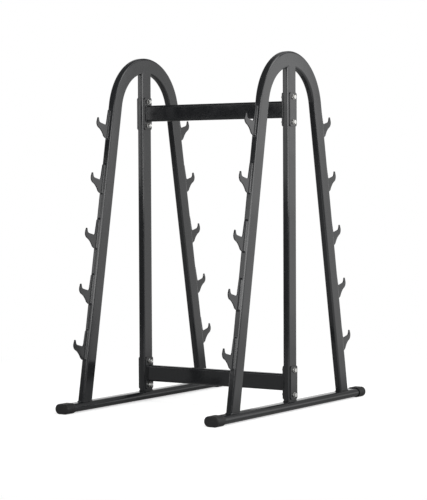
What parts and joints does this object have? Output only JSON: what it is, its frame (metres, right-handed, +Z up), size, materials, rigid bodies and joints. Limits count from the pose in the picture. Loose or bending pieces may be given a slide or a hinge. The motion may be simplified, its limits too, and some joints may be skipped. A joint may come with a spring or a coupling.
{
  "type": "barbell storage rack",
  "caption": "Free-standing steel rack of two arched side frames joined by two crossbeams, with rows of open hooks up the legs that hold barbells lying across it.",
  "frame": {"origin": "on the floor, at the middle of the rack between the two side frames and between front and back", "axes": "+Z up, +X across from the left to the right side frame, +Y along the base tubes towards the back"},
  "size_m": [0.9206, 1.3666, 1.7055],
  "materials": {
    "powder_coat": "gloss black powder coat",
    "zinc_plate": "bright zinc plate",
    "rubber": "matt black rubber"
  },
  "bodies": {
    "root": {"left_base_tube": "powder_coat", "left_arch_tube": "powder_coat", "left_upright": "powder_coat", "left_front_boot": "rubber", "left_front_hook_1": "powder_coat", "left_front_hook_2": "powder_coat", "left_front_hook_3": "powder_coat", "left_front_hook_4": "powder_coat", "left_front_hook_5": "powder_coat", "left_back_boot": "rubber", "left_back_hook_1": "powder_coat", "left_back_hook_2": "powder_coat", "left_back_hook_3": "powder_coat", "left_back_hook_4": "powder_coat", "left_back_hook_5": "powder_coat", "left_lower_flange_plate": "powder_coat", "left_lower_backing_plate": "powder_coat", "left_lower_bolt_1": "zinc_plate", "left_lower_nut_1": "zinc_plate", "left_lower_bolt_2": "zinc_plate", "left_lower_nut_2": "zinc_plate", "left_upper_flange_plate": "powder_coat", "left_upper_backing_plate": "powder_coat", "left_upper_bolt_1": "zinc_plate", "left_upper_nut_1": "zinc_plate", "left_upper_bolt_2": "zinc_plate", "left_upper_nut_2": "zinc_plate", "right_base_tube": "powder_coat", "right_arch_tube": "powder_coat", "right_upright": "powder_coat", "right_front_boot": "rubber", "right_front_hook_1": "powder_coat", "right_front_hook_2": "powder_coat", "right_front_hook_3": "powder_coat", "right_front_hook_4": "powder_coat", "right_front_hook_5": "powder_coat", "right_back_boot": "rubber", "right_back_hook_1": "powder_coat", "right_back_hook_2": "powder_coat", "right_back_hook_3": "powder_coat", "right_back_hook_4": "powder_coat", "right_back_hook_5": "powder_coat", "right_lower_flange_plate": "powder_coat", "right_lower_backing_plate": "powder_coat", "right_lower_bolt_1": "zinc_plate", "right_lower_nut_1": "zinc_plate", "right_lower_bolt_2": "zinc_plate", "right_lower_nut_2": "zinc_plate", "right_upper_flange_plate": "powder_coat", "right_upper_backing_plate": "powder_coat", "right_upper_bolt_1": "zinc_plate", "right_upper_nut_1": "zinc_plate", "right_upper_bolt_2": "zinc_plate", "right_upper_nut_2": "zinc_plate", "lower_crossbeam": "powder_coat", "upper_crossbeam": "powder_coat"}
  },
  "joints": []
}
